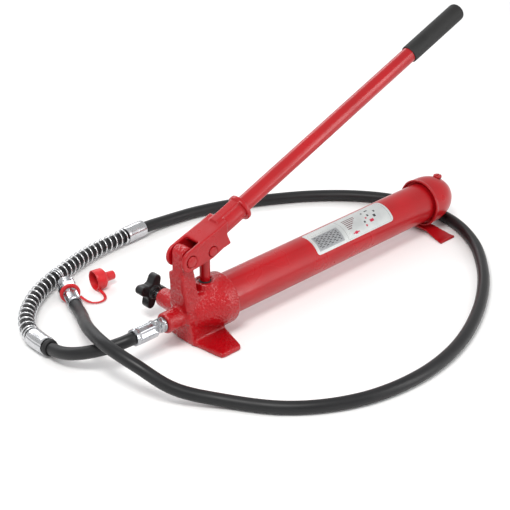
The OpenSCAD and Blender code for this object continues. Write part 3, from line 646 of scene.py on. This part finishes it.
# Rating label. A printed metallic film, wrapped round the near side of the tube: a grey panel
# of close small bars, and a pale panel with small bars and blocks. The marks stand for no writing.
label_start, label_end = 0.185, 0.339
label_low, label_high = math.radians(24), math.radians(108)
label_radius = 0.02860
label_thickness = 0.00018
label_corner = 0.005
label_height = (label_high - label_low) * label_radius
label_length = label_end - label_start
shape = bmesh.new()
shape.loops.layers.uv.new("UVMap")
bmesh.ops.create_grid(shape, x_segments=48, y_segments=30, size=0.5, calc_uvs=True)
for vert in shape.verts:
    vert.co.x *= label_length
    vert.co.y *= label_height
    inner = Vector((max(-label_length / 2 + label_corner, min(label_length / 2 - label_corner,
                                                              vert.co.x)),
                    max(-label_height / 2 + label_corner, min(label_height / 2 - label_corner,
                                                              vert.co.y))))
    out = vert.co.xy - inner
    if min(abs(out.x), abs(out.y)) > 1e-6:
        out *= max(abs(out.x), abs(out.y)) / out.length
        vert.co.xy = inner + out
bmesh.ops.solidify(shape, geom=shape.faces[:], thickness=label_thickness)
for vert in shape.verts:
    angle = label_low + (vert.co.y / label_height + 0.5) * (label_high - label_low)
    radius = label_radius + vert.co.z
    vert.co = Vector((vert.co.x + (label_start + label_end) / 2,
                      -radius * math.cos(angle), axis_height + radius * math.sin(angle)))
bmesh.ops.recalc_face_normals(shape, faces=shape.faces)

label_film = new_finish("label_film", (0.58, 0.60, 0.59), 0.30, metallic=0.35)
label_tree = label_film.node_tree
label_map = add_node(label_tree, "UVMap")
axes = add_node(label_tree, "SeparateXYZ")
label_tree.links.new(label_map.outputs["UV"], axes.inputs["Vector"])


def compare(tree, value, operation, limit):
    """1 where a value passes a limit, and 0 elsewhere."""
    node = add_node(tree, "Math", {1: limit}, operation=operation)
    tree.links.new(value, node.inputs[0])
    return node.outputs[0]


def joined(tree, first, second, operation):
    """Two values joined by an operation."""
    node = add_node(tree, "Math", operation=operation)
    tree.links.new(first, node.inputs[0])
    tree.links.new(second, node.inputs[1])
    return node.outputs[0]


def block(left, right, low, high):
    """1 inside a box on the label, as shares of its length and height, and 0 outside."""
    right_of = compare(label_tree, axes.outputs["X"], "GREATER_THAN", left)
    left_of = compare(label_tree, axes.outputs["X"], "LESS_THAN", right)
    across = joined(label_tree, right_of, left_of, "MULTIPLY")
    above = compare(label_tree, axes.outputs["Y"], "GREATER_THAN", low)
    below = compare(label_tree, axes.outputs["Y"], "LESS_THAN", high)
    up = joined(label_tree, above, below, "MULTIPLY")
    return joined(label_tree, across, up, "MULTIPLY")


def rows(left, right, low, high, count, width):
    """Rows of short dark bars of uneven length in a box on the label."""
    bars = add_node(label_tree, "TexBrick", {
        "Color1": (1, 1, 1, 1), "Color2": (0.2, 0.2, 0.2, 1), "Mortar": (0, 0, 0, 1),
        "Scale": 1.0, "Mortar Size": 0.26 / count * (high - low), "Mortar Smooth": 0.0,
        "Bias": -0.35, "Brick Width": width, "Row Height": (high - low) / count},
        offset=0.37, squash=1.0)
    label_tree.links.new(label_map.outputs["UV"], bars.inputs["Vector"])
    return joined(label_tree, compare(label_tree, bars.outputs["Color"], "GREATER_THAN", 0.5),
                  block(left, right, low, high), "MULTIPLY")


def printed(base, ink, *marks):
    """The label's colour with marks of one ink on it."""
    mask = marks[0]
    for mark in marks[1:]:
        mask = joined(label_tree, mask, mark, "MAXIMUM")
    return mixed(label_tree, mask, base, ink)


sheen = noise(label_tree, object_place(label_tree), 0.02, 2.0)
label_colour = mixed(label_tree, remap(label_tree, sheen, 0.0, 1.0), (0.60, 0.62, 0.61),
                     (0.48, 0.50, 0.50))
label_colour = printed(label_colour, (0.30, 0.31, 0.32), block(0.035, 0.355, 0.10, 0.66))
label_colour = printed(label_colour, (0.20, 0.21, 0.21), block(0.40, 0.975, 0.04, 0.045),
                       block(0.40, 0.403, 0.04, 0.93), block(0.972, 0.975, 0.04, 0.93),
                       block(0.40, 0.975, 0.925, 0.93))
label_colour = printed(label_colour, (0.035, 0.035, 0.04), rows(0.055, 0.335, 0.15, 0.61, 8, 0.06),
                       rows(0.05, 0.30, 0.70, 0.74, 1, 0.03),
                       block(0.66, 0.68, 0.34, 0.41), block(0.74, 0.76, 0.52, 0.60),
                       block(0.80, 0.83, 0.40, 0.50), block(0.84, 0.86, 0.58, 0.66),
                       block(0.70, 0.72, 0.70, 0.76), block(0.76, 0.80, 0.74, 0.79))
bar_ends = (0.50, 0.52, 0.55, 0.57, 0.60, 0.61)
label_colour = printed(label_colour, (0.11, 0.012, 0.016), *[
    block(0.45, end, 0.36 + 0.075 * i, 0.39 + 0.075 * i) for i, end in enumerate(bar_ends)])
label_colour = printed(label_colour, (0.50, 0.02, 0.06), block(0.73, 0.78, 0.28, 0.38),
                       block(0.66, 0.68, 0.20, 0.27), block(0.70, 0.72, 0.46, 0.52),
                       block(0.48, 0.56, 0.15, 0.19), block(0.505, 0.535, 0.12, 0.22))
colour_by(label_tree, label_colour)
roughness_by(label_tree, remap(label_tree, sheen, 0.26, 0.38))
bumps(label_tree, (noise(label_tree, object_place(label_tree), 0.008, 2.0), 0.00004, 0.3))
finished("rating_label_film", shape, label_film, "label_film", "rating_label",
         sharp=60)

# Plunger, gland and a black ring of painted shade. A ground steel rod works in the upright boss.
# Its head was painted with the pump, so the steel shows bright only when the lever is raised. A
# screwed gland nut holds the packing. A thin black rubber ring round the rod is painted shade: it
# stands for the dark gap between the rod and the gland nut.
paint_edge_height = 0.0802


def eased(node_name, width, angle=28, segments=2):
    """A CAD node with its sharp edges bevelled, as machined or sheared edges are."""
    shape = merged_copy(node_name)
    bmesh.ops.dissolve_limit(shape, angle_limit=math.radians(0.6), verts=shape.verts,
                             edges=shape.edges, delimit={"NORMAL"})
    edges = [e for e in shape.edges
             if e.is_manifold and e.calc_face_angle(0.0) > math.radians(angle)]
    bmesh.ops.bevel(shape, geom=edges, offset=width, offset_type="OFFSET", segments=segments,
                    profile=0.5, affect="EDGES", clamp_overlap=True, material=-1)
    return shape


rod_finish = paint_finish("plunger_paint", 0.28, [(0.0022, 2.0, 0.00008, 0.3)])
tree = rod_finish.node_tree
shader = tree.nodes["Principled BSDF"]
place = object_place(tree)
height_axes = add_node(tree, "SeparateXYZ")
tree.links.new(place, height_axes.inputs["Vector"])
ragged = remap(tree, noise(tree, place, 0.003, 3.0), paint_edge_height - 0.0008,
               paint_edge_height + 0.0008)
above = joined(tree, height_axes.outputs["Z"], ragged, "GREATER_THAN")
painted = shader.inputs["Base Color"].links[0].from_socket
colour_by(tree, mixed(tree, above, (0.74, 0.75, 0.76), painted))
bare = add_node(tree, "MapRange", {"To Min": 1.0, "To Max": 0.0})
tree.links.new(above, bare.inputs["Value"])
tree.links.new(bare.outputs["Result"], shader.inputs["Metallic"])
finished("plunger_rod", eased("plunger", width=0.0006), rod_finish, "steel", "plunger")
finished("gland_nut_slotted", eased("gland_nut", width=0.0004), cast_paint, "red_cast",
         "gland_nut")
gland_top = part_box("gland_nut")[1].z
# Painted shade: a thin black ring on the gland's top, standing for the shaded gap round the rod.
gap_shade_ring_outline = [(gland_top - 0.0002, 0.0071), (gland_top - 0.0002, 0.0086),
                 (gland_top + 0.0006, 0.0085), (gland_top + 0.0011, 0.0079),
                 (gland_top + 0.0012, 0.0072)]
shape = spun(gap_shade_ring_outline, 48)
finished("rod_gap_shade_ring", shape, soft_rubber, "seal_rubber", body="pump", sharp=80,
         place=Matrix.Rotation(-math.pi / 2, 4, "Y"))
repaint("plunger_packing", soft_rubber)

# Lever. A forged yoke with two cheeks, a top strip and a rolled socket for the handle. It
# turns on the fulcrum pin in the post and pushes the plunger through the piston pin. Both
# pins are headed, sunk in the near cheek, painted over, and clipped on the far side.
lever_paint = paint_finish("lever_paint", 0.27, [(0.0022, 3.0, 0.00016, 0.45),
                                                (0.012, 2.0, 0.0005, 0.30)])
finished("lever_forging", filleted("lever", grid=0.0009, passes=4), lever_paint,
         "red_cast", "lever", sharp=180)
dark_spring_steel = metal_finish("dark_spring_steel", (0.10, 0.10, 0.105), (0.07, 0.07, 0.075),
                                 0.35)
for pin_name in ("fulcrum_pin", "piston_pin"):
    finished(pin_name + "_headed", eased(pin_name, width=0.0005), lever_paint, "steel", pin_name)
for clip_name in ("fulcrum_clip", "piston_clip"):
    finished(clip_name + "_sprung", eased(clip_name, width=0.0002), dark_spring_steel, "dark_steel",
             clip_name)

# Handle. A painted steel tube, loose in the lever's socket so that it can be drawn out, with a
# black foam grip glued over its end. The grip's ends are rounded and its skin is matt.
handle_tilt = math.radians(21)
grip_start, grip_end = 0.412, 0.521
grip_radius, grip_bore = 0.01275, 0.01105
handle_place = (Matrix.Translation((0.0, 0.0, 0.138)) @ Matrix.Rotation(-handle_tilt, 4, "Y"))
repaint("handle_tube", tube_paint)
crown = [(grip_end - 0.006 + 0.006 * math.sin(a), grip_radius - 0.004 + 0.004 * math.cos(a))
         for a in even_steps(0.0, math.pi / 2, 6)]
grip_outline = ([(grip_start, grip_bore), (grip_start, grip_radius - 0.0006),
                 (grip_start + 0.0006, grip_radius - 0.0001), (grip_start + 0.0014, grip_radius)]
                + [(along, grip_radius) for along in
                   even_steps(grip_start + 0.004, grip_end - 0.008, 16)] + crown
                + [(grip_end, 0.0), (grip_end - 0.0019, 0.0), (grip_end - 0.0019, grip_bore)])
shape = spun(grip_outline, 48, closed=False)
bmesh.ops.holes_fill(shape, edges=[e for e in shape.edges if e.is_boundary], sides=0)
grip_foam = rubber_finish("grip_foam", (0.010, 0.010, 0.010), (0.019, 0.019, 0.019), 0.62,
                          0.0007, 0.00012)
finished("handle_grip_foam", shape, grip_foam, "grip_foam", "handle_grip",
         sharp=50, place=handle_place)

# Release valve. A screwed steel spindle in the far boss presses a ball on its seat. Its knob
# is a black moulded star with four rounded lobes, pinned across its hub.
knob_plastic = rubber_finish("knob_plastic", (0.008, 0.008, 0.009), (0.014, 0.014, 0.015),
                             0.30, 0.0009, 0.00004)
finished("release_knob_star", filleted("release_knob", grid=0.0007, passes=8),
         knob_plastic, "knob_plastic", "release_knob", sharp=180)
spindle_steel = metal_finish("spindle_steel", (0.80, 0.81, 0.82), (0.70, 0.71, 0.72), 0.16,
                             place_settings={"stretch": (1.0, 14.0, 1.0)})
finished("release_spindle_turned", eased("release_spindle", width=0.0005),
         spindle_steel, "steel", "release_spindle")
repaint("knob_pin", dark_spring_steel)
repaint("valve_o_ring", soft_rubber)

# Filler. A slotted screw in the pocket on top of the end cap, with a rubber washer under it.
finished("filler_plug_slotted", eased("filler_plug", width=0.0004), cap_paint,
         "red_cast", "filler_plug")
repaint("filler_seal", soft_rubber)

# Port adapter. Zinc-plated steel, screwed into the hose port, with a small hexagon.
finished("port_adapter_hexagon", eased("port_adapter", width=0.0004), zinc_along_x,
         "zinc", "port_adapter")

# Valves and suction parts inside the casting: ground balls, springs, a screw, the suction
# tube and its brass strainer.
ball_steel = metal_finish("ball_steel", (0.72, 0.72, 0.73), (0.64, 0.64, 0.66), 0.12)
for node_name in ("inlet_ball", "outlet_ball", "relief_ball", "release_ball", "suction_tube"):
    repaint(node_name, ball_steel)
for node_name in ("outlet_spring", "relief_spring", "relief_screw"):
    repaint(node_name, dark_spring_steel)
repaint("suction_strainer", brass)

# Studio. A wide pale floor, a large soft light overhead on the left, a tall narrow one on the
# right for the long reflections, a wide low one behind, and an even pale surround.
floor_size = 12.0
floor_mesh = bpy.data.meshes.new("floor")
shape = bmesh.new()
bmesh.ops.create_grid(shape, x_segments=1, y_segments=1, size=floor_size / 2)
shape.to_mesh(floor_mesh)
shape.free()
floor = bpy.data.objects.new("floor", floor_mesh)
bpy.context.scene.collection.objects.link(floor)
floor.location.z = -0.0002
floor_finish = new_finish("studio_floor", (0.90, 0.90, 0.90), 0.85)
tree = floor_finish.node_tree
cloud = noise(tree, object_place(tree), 0.6, 2.0)
colour_by(tree, mixed(tree, cloud, (0.90, 0.90, 0.90), (0.92, 0.92, 0.92)))
floor_mesh.materials.append(floor_finish)
for name, place, size, power, colour in (
        ("key_light", (-0.8, -0.5, 1.7), (0.7, 0.5), 22.0, (1.0, 0.99, 0.97)),
        ("side_light", (1.0, -1.5, 0.7), (0.3, 1.6), 12.0, (1.0, 1.0, 1.0)),
        ("back_light", (0.4, 1.7, 1.2), (2.0, 0.4), 14.0, (0.97, 0.98, 1.0))):
    data = bpy.data.lights.new(name, "AREA")
    data.shape = "RECTANGLE"
    data.size, data.size_y = size
    data.energy = power
    data.color = colour
    light = bpy.data.objects.new(name, data)
    bpy.context.scene.collection.objects.link(light)
    light.location = place
    light.rotation_euler = (Vector((0.1, 0.0, 0.06)) - light.location).to_track_quat(
        "-Z", "Y").to_euler()
world = bpy.data.worlds.new("studio")
world.use_nodes = True
world.node_tree.nodes["Background"].inputs["Color"].default_value = (1.0, 1.0, 1.0, 1.0)
world.node_tree.nodes["Background"].inputs["Strength"].default_value = 0.72
bpy.context.scene.world = world
bpy.context.scene.view_settings.view_transform = "Standard"
